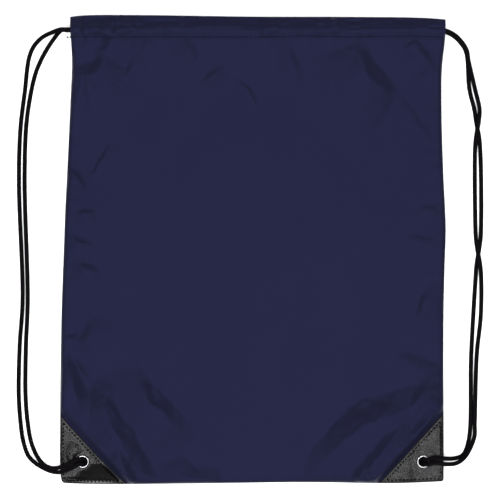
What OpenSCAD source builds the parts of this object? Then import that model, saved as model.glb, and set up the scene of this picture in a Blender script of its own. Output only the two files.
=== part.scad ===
// Drawstring backpack lying flat on its back: two cloth panels sewn along the sides and the bottom, a hem
// channel along each panel's mouth edge, and two cords that run through both channels and are knotted
// behind an eyelet in each bottom corner. +Y points to the mouth, +Z out of the front.

/* [Bag] */
// Width across the bottom edge
bottom_w = 345; // [335:1:355]
// Width across the mouth edge
top_w = 337; // [329:1:345]
// Height from the bottom edge to the mouth edge
bag_h = 420; // [412:1:428]
// Thickness of the cloth
cloth_t = 0.4; // [0.3:0.1:0.5]
// Height of the front panel above the surface that the bag lies on
front_z = 10.4; // [10.4:0.1:11.5]
// Width of the doubled cloth along a sewn edge
seam_w = 2; // [1.5:0.5:3]

/* [Channels] */
// Depth of a hem channel, down from the mouth edge
channel_h = 20; // [18:1:22]
// Thickness of a channel with its cords inside
channel_t = 5.2; // [5:0.1:6]
// How far a channel's open end stays inside the corner of the mouth
channel_inset = 4; // [3:1:8]

/* [Corner patches] */
// Length of a patch along the side seam
patch_side = 61; // [56:1:70]
// Length of a patch along the bottom edge
patch_bottom = 58; // [56:1:70]
// Thickness of the patch leather
patch_t = 0.8; // [0.6:0.1:1]
// Distance of the stitch line from a patch's edges
stitch_inset = 2.8; // [2:0.2:4]
// Width of the sewing thread
thread_w = 0.8; // [0.6:0.1:1]

/* [Eyelets and cords] */
// Distance of an eyelet from the side edge and from the bottom edge
eyelet_inset = 20; // [18:1:22]
// Radius of the hole through an eyelet
eyelet_hole_r = 4.3; // [4.2:0.1:4.5]
// Outer radius of an eyelet's barrel
eyelet_barrel_r = 4.9; // [4.8:0.1:5.2]
// Outer radius of an eyelet's flange
eyelet_flange_r = 6.2; // [5.8:0.1:7]
// Diameter of the cord
cord_d = 4; // [3.6:0.1:4.2]
// Height of a knot that lies under a corner
knot_h = 8; // [7:0.5:8]
// Diameter of a knot
knot_d = 17; // [15:1:20]

/* [Hidden] */
$fn = 48;
EPS = 0.01;
gap = 0.3;
cord_r = cord_d / 2;
cord_sides = 10;
back_channel_z = channel_t / 2;
front_channel_z = front_z + channel_t / 2;
channel_top_y = bag_h / 2;
channel_low_y = channel_top_y - channel_h;
channel_end_x = top_w / 2 - channel_inset;
// Each cord leaves the channels at its own side and turns back at the other, and the runs are slanted
// so that the left cord's lie above the right cord's. They end 0.1 short of the free strands, which start
// square at 167, so that the slanted ends stay clear of them.
left_exit_y = 197;
left_turn_y = 200.6;
right_exit_y = 195.8;
right_turn_y = 192.6;
run_out_x = 166.9;
run_turn_x = channel_end_x + gap;
run_l = run_out_x + run_turn_x;

// Layers of a corner, from the surface up: knot, washer, patch, back panel, front panel, patch, flange
washer_t = 0.6;
back_patch_z = knot_h + washer_t;
corner_z = back_patch_z + patch_t + gap;
front_patch_z = front_z + cloth_t + gap;
flange_z = front_patch_z + patch_t;
flange_t = 0.8;
ramp_w = 30;
thread_t = 0.3;
back_thread_z = back_patch_z - thread_t;
eyelet_x = bottom_w / 2 - eyelet_inset;
eyelet_y = eyelet_inset - bag_h / 2;
clear_r = eyelet_barrel_r + 0.5;

// A cord's two ends side by side in the eyelet, and their tails beyond the knot
end_r = cord_r - 0.1;
end_offset = cord_r + 0.2;
tail_offset = 3.5;
tail_angle = 18;
tail_l = 16;

// Free strands, from the channel's end round to the top of the eyelet. Points are [x, y, z].
left_front_route = [
    [-167, 197, 13], [-172.5, 197, 13], [-180, 194.6, 10], [-189, 190.4, 5.6], [-196.5, 183, 2.6],
    [-201, 173, 2], [-205, 142, 2], [-209, 108, 2], [-210.3, 60, 2], [-207, -45, 2], [-209.6, -86, 2],
    [-210.5, -130, 2], [-208.8, -156, 2], [-206.5, -172, 2], [-202, -185, 2], [-196.5, -191, 2.6],
    [-190, -195.2, 4.6], [-181.5, -198.6, 9], [-173, -199.2, 14.8], [-165, -196.6, 15.1],
    [-158.5, -193.3, 15.1], [-152.5, -192.2, 15.1]];
left_back_route = [
    [-167, 197, 2.6], [-172, 197, 2.6], [-178.5, 189.8, 2], [-184.5, 181, 2], [-190.5, 170, 2],
    [-196, 156, 2], [-203, 118, 2], [-205.2, 66, 2], [-202.4, -45, 2], [-204, -86, 2],
    [-204.4, -130, 2], [-202.4, -156, 2], [-199.6, -172, 2], [-195.5, -183, 2.4], [-191.6, -189, 5],
    [-187, -193.2, 9.4], [-180.5, -195.6, 13.4], [-173, -194.9, 15.1], [-165.5, -192, 15.1],
    [-158.5, -188.6, 15.1], [-152.5, -187.8, 15.1]];
right_front_route = [
    [167, 195.8, 13], [172.5, 195.8, 13], [180, 192.6, 10.8], [187, 186.2, 8.2], [191.8, 178.5, 6.6],
    [193.2, 170, 6.3], [199.4, 144, 3.6], [203.4, 126, 4], [202.6, 115, 6.4], [200.4, 103, 6.4],
    [199.4, 88, 2], [200, 14, 2], [201, 2, 6.4], [203.8, -14, 6.4], [205, -28, 2], [204.6, -60, 2],
    [201, -95, 2], [199.2, -155, 2], [198.6, -169, 3.4], [190.2, -185.8, 7.8], [181.8, -191.4, 12.4],
    [172.5, -192, 15.1], [163, -190.6, 15.1], [152.5, -192.2, 15.1]];
right_back_route = [
    [167, 195.8, 2.6], [172, 195.8, 2.6], [180, 192, 2], [187, 185.2, 2], [191.6, 177, 2],
    [194.4, 144, 2], [198.8, 126, 2], [200.6, 114, 2], [203.6, 97, 2], [204.6, 12, 2], [203.4, 2, 2],
    [200.8, -14, 2], [199.8, -28, 2], [196, -95, 2], [194, -170, 2], [189, -184, 3.2],
    [181.5, -187, 8.8], [172, -187, 14.8], [163, -186.2, 15.1], [152.5, -187.8, 15.1]];

cloth_colour = [0.16, 0.16, 0.28];
patch_colour = [0.27, 0.27, 0.28];
cord_colour = [0.06, 0.05, 0.06];
metal_colour = [0.8, 0.8, 0.82];

// ---------- shapes shared by the parts ----------

function half_w(y) = bottom_w / 2 + (top_w - bottom_w) / 2 * (y + bag_h / 2) / bag_h;

module on_side(side) {
    mirror([side == "left" ? 0 : 1, 0, 0]) children();
}

// Outline of a panel between two heights
module outline_2d(low_y, high_y) {
    polygon([
        [-half_w(low_y), low_y], [half_w(low_y), low_y],
        [half_w(high_y), high_y], [-half_w(high_y), high_y]]);
}

// Triangle in the left bottom corner, inset from its edges by d
module corner_2d(d = 0) {
    low = -bag_h / 2;
    offset(delta = -d)
        polygon([
            [-half_w(low), low], [patch_bottom - half_w(low), low],
            [-half_w(low + patch_side), low + patch_side]]);
}

// Inner edge of the left corner patch, moved in by d along X, as a thin bar at height z
module corner_edge(d, z) {
    low = -bag_h / 2;
    foot = [patch_bottom - half_w(low) + d, low];
    head = [-half_w(low + patch_side + d), low + patch_side + d];
    translate([0, 0, z])
        linear_extrude(cloth_t)
            polygon([foot, foot + [EPS, EPS], head + [EPS, EPS], head]);
}

module at_eyelet(z) {
    translate([-eyelet_x, eyelet_y, z]) children();
}

// Hem channel folded flat round its cords: an open tube along X
module channel(low_z) {
    color(cloth_colour)
        translate([-channel_end_x, 0, low_z])
            rotate([90, 0, 90])
                linear_extrude(2 * channel_end_x)
                    difference() {
                        translate([channel_low_y, 0]) square([channel_h, channel_t]);
                        translate([channel_low_y + cloth_t, cloth_t])
                            square([channel_h - 2 * cloth_t, channel_t - 2 * cloth_t]);
                    }
}

module channel_thread(z) {
    color(cord_colour)
        translate([-channel_end_x, channel_low_y + thread_w, z])
            cube([2 * channel_end_x, thread_w, thread_t]);
}

// Cord through one channel, round the far channel's end and back through the other channel
module cord_run(side, exit_y, turn_y) {
    bend_r = (front_channel_z - back_channel_z) / 2;
    color(cord_colour)
        on_side(side)
            translate([-run_out_x, exit_y, 0])
                rotate([0, 0, asin((turn_y - exit_y) / run_l)]) {
                    for (z = [back_channel_z, front_channel_z])
                        translate([0, 0, z])
                            rotate([0, 90, 0])
                                cylinder(h = run_l, r = cord_r);
                    translate([run_l, 0, back_channel_z + bend_r])
                        rotate([90, 0, 0])
                            rotate([0, 0, -90])
                                rotate_extrude(angle = 180)
                                    translate([bend_r, 0]) circle(cord_r);
                }
}

// ---------- cord tube swept along a route ----------

function unit(v) = v / norm(v);

function heading(route, i) =
    i == 0 ? unit(route[1] - route[0])
    : i == len(route) - 1 ? unit(route[i] - route[i - 1])
    : unit(unit(route[i + 1] - route[i]) + unit(route[i] - route[i - 1]));

function ring(centre, along) =
    let (across = unit(cross(along, [0, 0, 1])), up = cross(across, along))
    [for (k = [0 : cord_sides - 1])
        let (a = 360 * (k + 0.5) / cord_sides)
        centre + cord_r * (cos(a) * across + sin(a) * up)];

module cord_tube(route) {
    rings = len(route);
    points = [for (i = [0 : rings - 1]) each ring(route[i], heading(route, i))];
    walls = [
        for (i = [0 : rings - 2], k = [0 : cord_sides - 1])
            let (next = (k + 1) % cord_sides)
            [i * cord_sides + k, i * cord_sides + next,
             (i + 1) * cord_sides + next, (i + 1) * cord_sides + k]];
    first_cap = [for (k = [cord_sides - 1 : -1 : 0]) k];
    last_cap = [for (k = [0 : cord_sides - 1]) (rings - 1) * cord_sides + k];
    color(cord_colour)
        polyhedron(points, concat(walls, [first_cap, last_cap]), convexity = 6);
}

// ---------- cloth ----------

module front_panel() {
    color(cloth_colour)
        translate([0, 0, front_z])
            difference() {
                linear_extrude(cloth_t) outline_2d(-bag_h / 2, channel_low_y);
                for (side = ["left", "right"])
                    on_side(side) at_eyelet(-EPS) cylinder(h = cloth_t + 2 * EPS, r = clear_r);
            }
}

// The back panel lies on the surface and climbs over the knots at its two bottom corners
module back_panel() {
    color(cloth_colour) {
        linear_extrude(cloth_t)
            difference() {
                outline_2d(-bag_h / 2, channel_low_y);
                for (side = ["left", "right"]) on_side(side) back_corner_2d();
            }
        for (side = ["left", "right"])
            on_side(side) back_corner();
    }
}

// Corner of the back panel that is not on the surface: the patch's triangle and the ramp beside it.
// It reaches past the panel's edges, to cut them cleanly.
module back_corner_2d() {
    low = -bag_h / 2;
    high = low + patch_side + ramp_w;
    inner_x = patch_bottom + ramp_w - half_w(low);
    outer_x = -half_w(low) - 1;
    polygon([[outer_x, low - 1], [inner_x, low - 1], [inner_x, low], [-half_w(high), high], [outer_x, high]]);
}

module back_corner() {
    hull() {
        corner_edge(ramp_w, 0);
        corner_edge(0, corner_z);
    }
    translate([0, 0, corner_z])
        difference() {
            linear_extrude(cloth_t) corner_2d();
            at_eyelet(-EPS) cylinder(h = cloth_t + 2 * EPS, r = clear_r);
        }
}

// Turned-in cloth along the bottom edge, between the two patches
module bottom_seam() {
    half = bottom_w / 2 - patch_bottom - ramp_w;
    color(cloth_colour)
        translate([-half, -bag_h / 2, cloth_t])
            cube([2 * half, seam_w, front_z - cloth_t]);
}

// Turned-in cloth along one side edge, from the patch up to the channels
module side_seam() {
    low = patch_side + ramp_w - bag_h / 2;
    color(cloth_colour)
        translate([0, 0, cloth_t + gap])
            linear_extrude(front_z - cloth_t - 2 * gap)
                polygon([
                    [-half_w(low), low], [seam_w - half_w(low), low],
                    [seam_w - half_w(channel_low_y), channel_low_y],
                    [-half_w(channel_low_y), channel_low_y]]);
}

// ---------- corners ----------

module patch(z) {
    color(patch_colour)
        translate([0, 0, z])
            difference() {
                linear_extrude(patch_t) corner_2d();
                at_eyelet(-EPS) cylinder(h = patch_t + 2 * EPS, r = eyelet_barrel_r);
            }
}

module patch_thread(z) {
    color(cord_colour)
        translate([0, 0, z])
            linear_extrude(thread_t)
                difference() {
                    corner_2d(stitch_inset);
                    corner_2d(stitch_inset + thread_w);
                }
}

// Eyelet: a flange on the front patch and a barrel down through both panels
module eyelet() {
    barrel_h = flange_z - back_patch_z;
    color(metal_colour)
        at_eyelet(0)
            difference() {
                union() {
                    translate([0, 0, back_patch_z]) cylinder(h = barrel_h, r = eyelet_barrel_r);
                    translate([0, 0, flange_z]) cylinder(h = flange_t, r = eyelet_flange_r);
                }
                cylinder(h = flange_z + 2 * flange_t, r = eyelet_hole_r);
            }
}

module eyelet_washer() {
    color(metal_colour)
        at_eyelet(knot_h)
            difference() {
                cylinder(h = washer_t, r = eyelet_flange_r);
                translate([0, 0, -EPS]) cylinder(h = washer_t + 2 * EPS, r = eyelet_hole_r);
            }
}

// Both ends of a cord pass down through the eyelet and are tied in one knot, which leaves two short tails
module cord_knot() {
    color(cord_colour)
        at_eyelet(0) {
            rotate_extrude()
                intersection() {
                    translate([(knot_d - knot_h) / 2, knot_h / 2]) circle(knot_h / 2);
                    square([knot_d, knot_h]);
                }
            cylinder(h = knot_h, r = (knot_d - knot_h) / 2);
            for (way = [-1, 1]) {
                translate([0, way * end_offset, knot_h / 2])
                    cylinder(h = flange_z - knot_h / 2, r = end_r);
                translate([0, way * tail_offset, cord_r])
                    rotate([0, 90, way * tail_angle])
                        cylinder(h = knot_d / 2 + tail_l, r = end_r);
            }
        }
}

front_panel();
back_panel();
channel(front_z);  // front_channel
channel(0);  // back_channel
channel_thread(front_z + channel_t);  // front_channel_thread
channel_thread(channel_t);  // back_channel_thread
bottom_seam();
cord_run("left", left_exit_y, left_turn_y);  // left_cord_run
cord_run("right", right_exit_y, right_turn_y);  // right_cord_run
on_side("left") side_seam();  // left_side_seam
on_side("left") patch(front_patch_z);  // left_front_patch
on_side("left") patch(back_patch_z);  // left_back_patch
on_side("left") patch_thread(flange_z);  // left_front_patch_thread
on_side("left") patch_thread(back_thread_z);  // left_back_patch_thread
on_side("left") eyelet();  // left_eyelet
on_side("left") eyelet_washer();  // left_eyelet_washer
on_side("left") cord_knot();  // left_cord_knot
cord_tube(left_front_route);  // left_front_strand
cord_tube(left_back_route);  // left_back_strand
on_side("right") side_seam();  // right_side_seam
on_side("right") patch(front_patch_z);  // right_front_patch
on_side("right") patch(back_patch_z);  // right_back_patch
on_side("right") patch_thread(flange_z);  // right_front_patch_thread
on_side("right") patch_thread(back_thread_z);  // right_back_patch_thread
on_side("right") eyelet();  // right_eyelet
on_side("right") eyelet_washer();  // right_eyelet_washer
on_side("right") cord_knot();  // right_cord_knot
cord_tube(right_front_route);  // right_front_strand
cord_tube(right_back_route);  // right_back_strand
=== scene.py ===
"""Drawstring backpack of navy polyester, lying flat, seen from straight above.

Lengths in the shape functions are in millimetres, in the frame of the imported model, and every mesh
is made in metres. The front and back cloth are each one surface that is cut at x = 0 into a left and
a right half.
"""

import math

import bpy
import numpy as np
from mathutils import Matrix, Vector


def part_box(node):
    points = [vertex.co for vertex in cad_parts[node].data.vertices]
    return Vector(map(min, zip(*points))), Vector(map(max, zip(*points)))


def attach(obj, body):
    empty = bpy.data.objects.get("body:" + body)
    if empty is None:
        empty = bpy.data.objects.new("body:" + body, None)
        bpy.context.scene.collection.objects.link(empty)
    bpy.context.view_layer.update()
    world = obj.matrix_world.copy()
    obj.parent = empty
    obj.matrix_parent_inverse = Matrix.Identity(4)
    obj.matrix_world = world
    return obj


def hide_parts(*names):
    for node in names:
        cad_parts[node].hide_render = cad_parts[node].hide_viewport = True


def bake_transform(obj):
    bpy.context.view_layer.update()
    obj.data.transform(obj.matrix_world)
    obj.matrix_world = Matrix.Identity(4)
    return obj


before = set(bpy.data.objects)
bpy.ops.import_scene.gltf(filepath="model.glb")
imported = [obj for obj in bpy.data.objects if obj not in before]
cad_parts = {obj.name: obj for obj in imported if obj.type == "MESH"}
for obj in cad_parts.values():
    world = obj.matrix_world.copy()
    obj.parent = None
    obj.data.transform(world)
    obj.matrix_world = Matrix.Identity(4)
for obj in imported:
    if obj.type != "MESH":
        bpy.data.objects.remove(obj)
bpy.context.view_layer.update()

MM = 0.001
SIDES = {"left": -1, "right": 1}

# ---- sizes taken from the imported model, in millimetres ----


def low_corner(node):
    return np.array(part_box(node)[0]) / MM


def high_corner(node):
    return np.array(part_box(node)[1]) / MM


def mid_point(node):
    return (low_corner(node) + high_corner(node)) / 2


BOTTOM_HALF = high_corner("front_panel")[0]
SEAM_Y = low_corner("front_channel")[1]
FRONT_Z = high_corner("front_panel")[2]
FRONT_CORD_Z = mid_point("front_channel")[2]
BACK_CORD_Z = mid_point("back_channel")[2]
PATCH_W, PATCH_H = (high_corner("left_front_patch") - low_corner("left_front_patch"))[:2]
PATCH_TOP_Z = high_corner("left_front_patch")[2]
BACK_PATCH_Z = low_corner("left_back_patch")[2]
EYELET_X, EYELET_Y = mid_point("right_eyelet")[:2]
EYELET_TOP_Z = high_corner("left_eyelet")[2]
FLANGE_R = (high_corner("left_eyelet")[0] - low_corner("left_eyelet")[0]) / 2

# Sizes that no box gives: the cord, the hole through an eyelet and the drawn cloth.
CORD_D = 4.0
CORD_R = CORD_D / 2
HOLE_R = 4.3
CLOTH_T = 0.35

# ---- small mathematics ----


def smooth(low, high, value):
    """0 below low, 1 above high, and a smooth step between them."""
    t = np.clip((np.asarray(value, float) - low) / (high - low), 0, 1)
    return t * t * (3 - 2 * t)


def mix(a, b, share):
    return a + (b - a) * share


def walked(path):
    """How far along a path each of its points is."""
    return np.concatenate([[0], np.cumsum(np.linalg.norm(np.diff(path, axis=0), axis=1))])


def points_at(path, along, where):
    """The points of a path at some distances along it."""
    return np.stack([np.interp(where, along, path[:, k]) for k in range(path.shape[1])], axis=1)


def curve_span(a, b, c, d):
    """Points from b almost to c on the smooth curve through a, b, c and d."""
    knots = np.cumsum([0] + [np.linalg.norm(v) ** 0.5 for v in (b - a, c - b, d - c)])
    t = np.linspace(knots[1], knots[2], 24, endpoint=False)[:, None]

    def between(start, end, i, j):
        return mix(start, end, (t - knots[i]) / (knots[j] - knots[i]))

    ab, bc, cd = between(a, b, 0, 1), between(b, c, 1, 2), between(c, d, 2, 3)
    return between(between(ab, bc, 0, 2), between(bc, cd, 1, 3), 1, 2)


def smooth_curve(points, spacing):
    """A smooth curve through a few points, resampled at about that spacing."""
    p = np.array(points, float)
    p = np.vstack([2 * p[0] - p[1], p, 2 * p[-1] - p[-2]])
    found = [curve_span(*four) for four in zip(p[:-3], p[1:-2], p[2:-1], p[3:])]
    line = np.vstack(found + [p[-2][None]])
    along = walked(line)
    count = max(2, math.ceil(along[-1] / spacing) + 1)
    return points_at(line, along, np.linspace(0, along[-1], count))


def edge_of(points, spacing=1.0):
    """A function that gives the second coordinate from the first, along a smooth curve."""
    line = smooth_curve(points, spacing)
    return lambda value: np.interp(value, line[:, 0], line[:, 1])


def value_noise(x, y, seed):
    """Smooth noise from -1 to 1 with a grain of 1, the same on every run."""
    size = 64
    table = np.random.default_rng(seed).uniform(-1, 1, (size, size))
    i, j = np.floor(x).astype(int), np.floor(y).astype(int)
    u, v = smooth(0, 1, x - i), smooth(0, 1, y - j)
    low, high = (mix(table[i % size, k % size], table[(i + 1) % size, k % size], u) for k in (j, j + 1))
    return mix(low, high, v)


# ---- meshes ----


def add_object(name, data):
    added = bpy.data.objects.new(name, data)
    bpy.context.scene.collection.objects.link(added)
    return added


def make_piece(name, points_mm, faces, material, normals=None, uv_mm=None):
    """A smooth-shaded mesh object. Where normals or uv_mm is given, it holds a row for each point."""
    mesh = bpy.data.meshes.new(name)
    mesh.from_pydata((np.asarray(points_mm) * MM).tolist(), [], faces)
    mesh.shade_smooth()
    mesh.materials.append(material)
    corner = np.zeros(len(mesh.loops), int)
    mesh.loops.foreach_get("vertex_index", corner)
    if uv_mm is not None:
        layer = mesh.uv_layers.new(name="flat_cloth")
        layer.data.foreach_set("uv", (np.asarray(uv_mm)[corner] * MM).ravel())
    if normals is not None:
        mesh.normals_split_custom_set(np.asarray(normals)[corner].tolist())
    return add_object(name, mesh)


def grid_faces(rows, columns, closed=False, flip=False):
    """Quads of a grid of rows by columns, closed round its columns or not."""
    faces = []
    for i in range(rows - 1):
        for j in range(columns if closed else columns - 1):
            k = (j + 1) % columns
            quad = [i * columns + j, i * columns + k, (i + 1) * columns + k, (i + 1) * columns + j]
            faces.append(quad[::-1] if flip else quad)
    return faces


def grid_normals(points):
    """Directions square to a surface given as a grid, with x rising along columns and y along rows."""
    n = np.cross(np.gradient(points, axis=1), np.gradient(points, axis=0))
    return n / np.maximum(np.linalg.norm(n, axis=2, keepdims=True), 1e-9)


def open_holes(points, faces, holes):
    """The faces clear of round holes, with the corners along each hole moved out onto its circle."""
    for centre, radius in holes:
        away = np.linalg.norm(points[:, :2] - centre, axis=1)
        inside = set(np.flatnonzero(away < radius).tolist())
        kept = [f for f in faces if not inside.intersection(f)]
        cut = {v for f in faces if inside.intersection(f) for v in f}
        rim = sorted(cut.intersection(v for f in kept for v in f))
        points[rim, :2] = centre + (points[rim, :2] - centre) * (radius / away[rim])[:, None]
        faces = kept
    return faces


def thick_sheet(name, outer, normals, faces, thickness, material, flat, holes=()):
    """A sheet with thickness: its outer surface, one inside it, and a rim along every open edge."""
    outer = outer.copy()
    faces = open_holes(outer, faces, holes)
    used = sorted({v for f in faces for v in f})
    new = {v: k for k, v in enumerate(used)}
    faces = [[new[v] for v in f] for f in faces]
    outer, normals, flat = outer[used], normals[used], flat[used]
    count = len(used)
    edges = {(a, b) for f in faces for a, b in zip(f, f[1:] + f[:1])}
    every = faces + [[v + count for v in f[::-1]] for f in faces]
    every += [[b, a, a + count, b + count] for a, b in sorted(edges) if (b, a) not in edges]
    points = np.concatenate([outer, outer - normals * thickness])
    return make_piece(
        name, points, every, material, np.concatenate([normals, -normals]), np.tile(flat, (2, 1))
    )


def tube_frames(path):
    """Two directions across a path at each of its points, turning with it and not round it."""
    along = np.gradient(path, axis=0)
    along /= np.linalg.norm(along, axis=1, keepdims=True)
    across = np.cross(along[0], [0, 0, 1.0])
    if np.linalg.norm(across) < 0.1:
        across = np.array([1.0, 0, 0])
    found = []
    for direction in along:
        across = across - direction * (across @ direction)
        across /= np.linalg.norm(across)
        found.append(across)
    first = np.array(found)
    return first, np.cross(along, first)


def ring_angles(count):
    return np.arange(count) * 2 * math.pi / count


def tube(path, radius, sides):
    """Points and faces of a closed tube along a path. radius has a row for each point of the path."""
    first, second = tube_frames(path)
    a = ring_angles(sides)[:, None]
    points = path[:, None] + radius[..., None] * (np.cos(a) * first[:, None] + np.sin(a) * second[:, None])
    rows = len(path)
    faces = grid_faces(rows, sides, closed=True)
    faces += [list(range(sides))[::-1], [(rows - 1) * sides + k for k in range(sides)]]
    return points.reshape(-1, 3), faces


BRAID_LOBES = 6
BRAID_CELL = 2.1
BRAID_DEPTH = 0.26


def braid_height(angle, length):
    """How proud the yarns of a braided cord stand, 0 to 1, round it and along it."""
    round_it = angle * BRAID_LOBES / 2
    along_it = length * math.pi / BRAID_CELL
    return np.sqrt(np.abs(np.sin(round_it + along_it) * np.sin(round_it - along_it)))


def braided_tube(path, sides):
    """Points and faces of a braided cord along a path, with rounded ends."""
    along = walked(path)
    a, s = np.meshgrid(ring_angles(sides), along)
    radius = CORD_R - BRAID_DEPTH + BRAID_DEPTH * 1.2 * braid_height(a, s)
    to_end = np.minimum(s, along[-1] - s)
    radius *= np.sqrt(np.clip(1 - (1 - np.clip(to_end / CORD_R, 0, 1)) ** 2, 0.02, 1))
    return tube(path, radius, sides)


def joined(parts):
    """Several (points, faces) as one."""
    points, faces, count = [], [], 0
    for p, f in parts:
        points.append(p)
        faces += [[v + count for v in face] for face in f]
        count += len(p)
    return np.concatenate(points), faces


def cord_piece(name, paths, sides):
    """Braided cord along one or more paths, as one piece."""
    points, faces = joined([braided_tube(path, sides) for path in paths])
    return make_piece(name, points, faces, CORD)


RING_SIDES = 72


def revolved(profile, centre):
    """A closed profile of (radius, height), anticlockwise, turned round a vertical axis."""
    angle = ring_angles(RING_SIDES)
    r, z = np.array(profile, float).T[..., None]
    x, y = centre[0] + r * np.cos(angle), centre[1] + r * np.sin(angle)
    points = np.stack([x, y, np.broadcast_to(z, x.shape)], axis=2).reshape(-1, 3)
    rings = grid_faces(len(profile) + 1, RING_SIDES, closed=True)
    return points, [[v % len(points) for v in face] for face in rings]


# ---- materials ----


class Nodes:
    """A short way to write a shader's nodes. In a socket's name, _ stands for a space, and in_1 is the
    socket of that number."""

    def __init__(self, name):
        self.material = bpy.data.materials.new(name)
        self.material.use_nodes = True
        self.tree = self.material.node_tree
        self.shader = self.tree.nodes["Principled BSDF"]

    def add(self, kind, settings=None, **inputs):
        node = self.tree.nodes.new("ShaderNode" + kind)
        for key, value in (settings or {}).items():
            setattr(node, key, value)
        self.put(node, **inputs)
        return node

    def put(self, node, **inputs):
        for key, value in inputs.items():
            key = int(key[3:]) if key.startswith("in_") else key.replace("_", " ")
            if isinstance(value, bpy.types.NodeSocket):
                self.tree.links.new(value, node.inputs[key])
            else:
                node.inputs[key].default_value = value

    def surface(self, **inputs):
        self.put(self.shader, **inputs)

    def math(self, operation, a, b=0.0, c=0.0):
        return self.add("Math", {"operation": operation}, in_0=a, in_1=b, in_2=c).outputs[0]

    def scaled(self, value, factor, plus):
        return self.math("MULTIPLY_ADD", value, factor, plus)

    def ramp(self, factor, stops):
        node = self.add("ValToRGB", Fac=factor)
        ramp = node.color_ramp
        ramp.elements[0].position, ramp.elements[1].position = stops[0][0], stops[-1][0]
        for position, _ in stops[1:-1]:
            ramp.elements.new(position)
        for element, (_, colour) in zip(ramp.elements, stops):
            element.color = (*colour, 1)
        return node.outputs[0]

    def object_place(self):
        return self.add("TexCoord").outputs["Object"]

    def noise(self, scale, detail=3.0):
        place = self.object_place()
        node = self.add("TexNoise", Scale=scale, Detail=detail, Roughness=0.55, Vector=place)
        return node.outputs["Fac"]

    def bump(self, height, strength, distance_m, **under):
        node = self.add("Bump", Height=height, Strength=strength, Distance=distance_m, **under)
        return node.outputs["Normal"]


# Colours: each material's ramp, from dark to light.
CLOTH_RAMP = [
    (0.25, (0.0066, 0.0070, 0.0172)), (0.5, (0.0070, 0.0074, 0.0182)), (0.8, (0.0074, 0.0078, 0.0192))]
LEATHER_RAMP = [
    (0.3, (0.0022, 0.0022, 0.0024)), (0.65, (0.0040, 0.0039, 0.0042)), (0.95, (0.0090, 0.0088, 0.0095))]
CORD_RAMP = [(0.3, (0.0012, 0.0010, 0.0013)), (0.75, (0.0045, 0.0038, 0.0048))]
METAL_RAMP = [(0.3, (0.28, 0.28, 0.30)), (0.7, (0.52, 0.52, 0.54))]
CLOTH_THREAD_RAMP = [(0.2, (0.0012, 0.0012, 0.003)), (0.8, (0.004, 0.004, 0.010))]
PATCH_THREAD_RAMP = [(0.2, (0.0004, 0.0004, 0.001)), (0.8, (0.0018, 0.0018, 0.005))]
FLOOR_RAMP = [(0.0, (0.90, 0.90, 0.90)), (1.0, (0.93, 0.93, 0.93))]
CLOTH_GLOSS = (0.25, 0.26, 1.0, 1)
# Painted shade: the dark rim along a leather patch's cut edge, standing in for the shadow line round the
# patch.
LEATHER_RIM_SHADE = (0.0008, 0.0008, 0.0012, 1)

# Finishes. Sizes of a weave or a twist are in metres, and scales are in grains per metre.
CLOTH_IOR = 1.115
CLOTH_ROUGHNESS = 0.26
CLOTH_PITCH_M = 0.00042
CLOTH_STREAKS = (3000, 120, 1)
LEATHER_ROUGHNESS = 0.14
LEATHER_PEBBLES = 600.0
# Painted shade: in metres in from a patch's edge, where its rim goes from the painted shade to its own
# colour and roughness.
LEATHER_RIM_SHADE_M = (0.0005, 0.0011)
BLACK_IOR = 1.06
CORD_YARNS = 1500.0
METAL_ROUGHNESS = 0.2
METAL_SCRATCHES = 4200.0
THREAD_TWIST_M = 0.00045


def cloth_material():
    """Plain-woven navy polyester: warp and weft threads, a little uneven, with a faint sheen."""
    m = Nodes("navy_cloth")
    uv = m.add("UVMap", {"uv_map": "flat_cloth"}).outputs[0]
    split = m.add("SeparateXYZ", Vector=uv)
    turn = 2 * math.pi / CLOTH_PITCH_M
    warp = m.math("SINE", m.math("MULTIPLY", split.outputs[0], turn))
    weft = m.math("SINE", m.math("MULTIPLY", split.outputs[1], turn))
    weave = m.math("MULTIPLY", warp, weft)
    stretched = m.add("Mapping", Vector=uv, Scale=CLOTH_STREAKS)
    streak = m.add("TexNoise", Scale=1.0, Detail=2.0, Vector=stretched.outputs[0]).outputs["Fac"]
    cloud = m.noise(18.0)
    tone = m.scaled(weave, 0.06, m.scaled(streak, 0.25, cloud))
    colour = m.ramp(m.math("MULTIPLY", tone, 0.8), CLOTH_RAMP)
    fine = m.bump(weave, 0.35, 0.00006)
    crumpled = m.bump(m.noise(140.0, 4.0), 0.25, 0.0006, Normal=fine)
    roughness = m.scaled(cloud, 0.08, CLOTH_ROUGHNESS)
    m.surface(Base_Color=colour, Normal=crumpled, Roughness=roughness)
    m.surface(IOR=CLOTH_IOR, Specular_Tint=CLOTH_GLOSS)
    return m.material


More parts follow.
